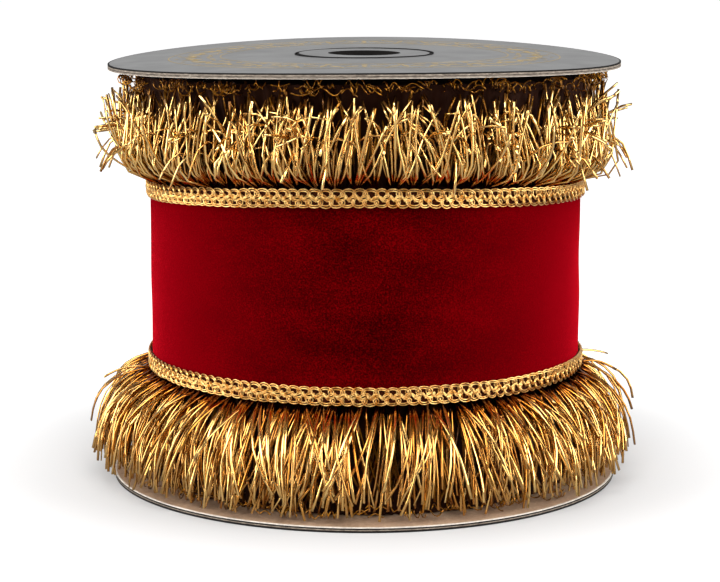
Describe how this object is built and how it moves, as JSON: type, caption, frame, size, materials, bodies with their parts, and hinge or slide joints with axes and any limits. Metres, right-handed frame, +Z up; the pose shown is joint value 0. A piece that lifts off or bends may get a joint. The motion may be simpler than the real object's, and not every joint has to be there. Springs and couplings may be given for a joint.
{
  "type": "velvet trim on a card spool",
  "caption": "Wide red velvet ribbon with gold crochet braid and tinsel fringe along both edges, wound on a round card spool with a rod bore.",
  "frame": {"origin": "centre of the bottom flange's underside, on the spool's axis", "axes": "+Z up the spool's axis, -Y towards the front, +Y towards the trim's outer end at the back"},
  "size_m": [0.1349, 0.1348, 0.1057],
  "materials": {
    "black_card": "black coated card, satin",
    "grey_board": "uncoated grey board, matt",
    "velvet": "deep red velvet pile",
    "gold_braid": "crocheted metallic gold yarn",
    "gold_tinsel": "bright metallised gold film"
  },
  "bodies": {
    "root": {"bottom_flange": "grey_board", "top_flange": "black_card", "core_tube": "grey_board", "bottom_hub": "grey_board", "top_hub": "black_card", "velvet_roll": "velvet", "lower_braid": "gold_braid", "upper_braid": "gold_braid", "lower_fringe": "gold_tinsel", "upper_fringe": "gold_tinsel"}
  },
  "joints": []
}
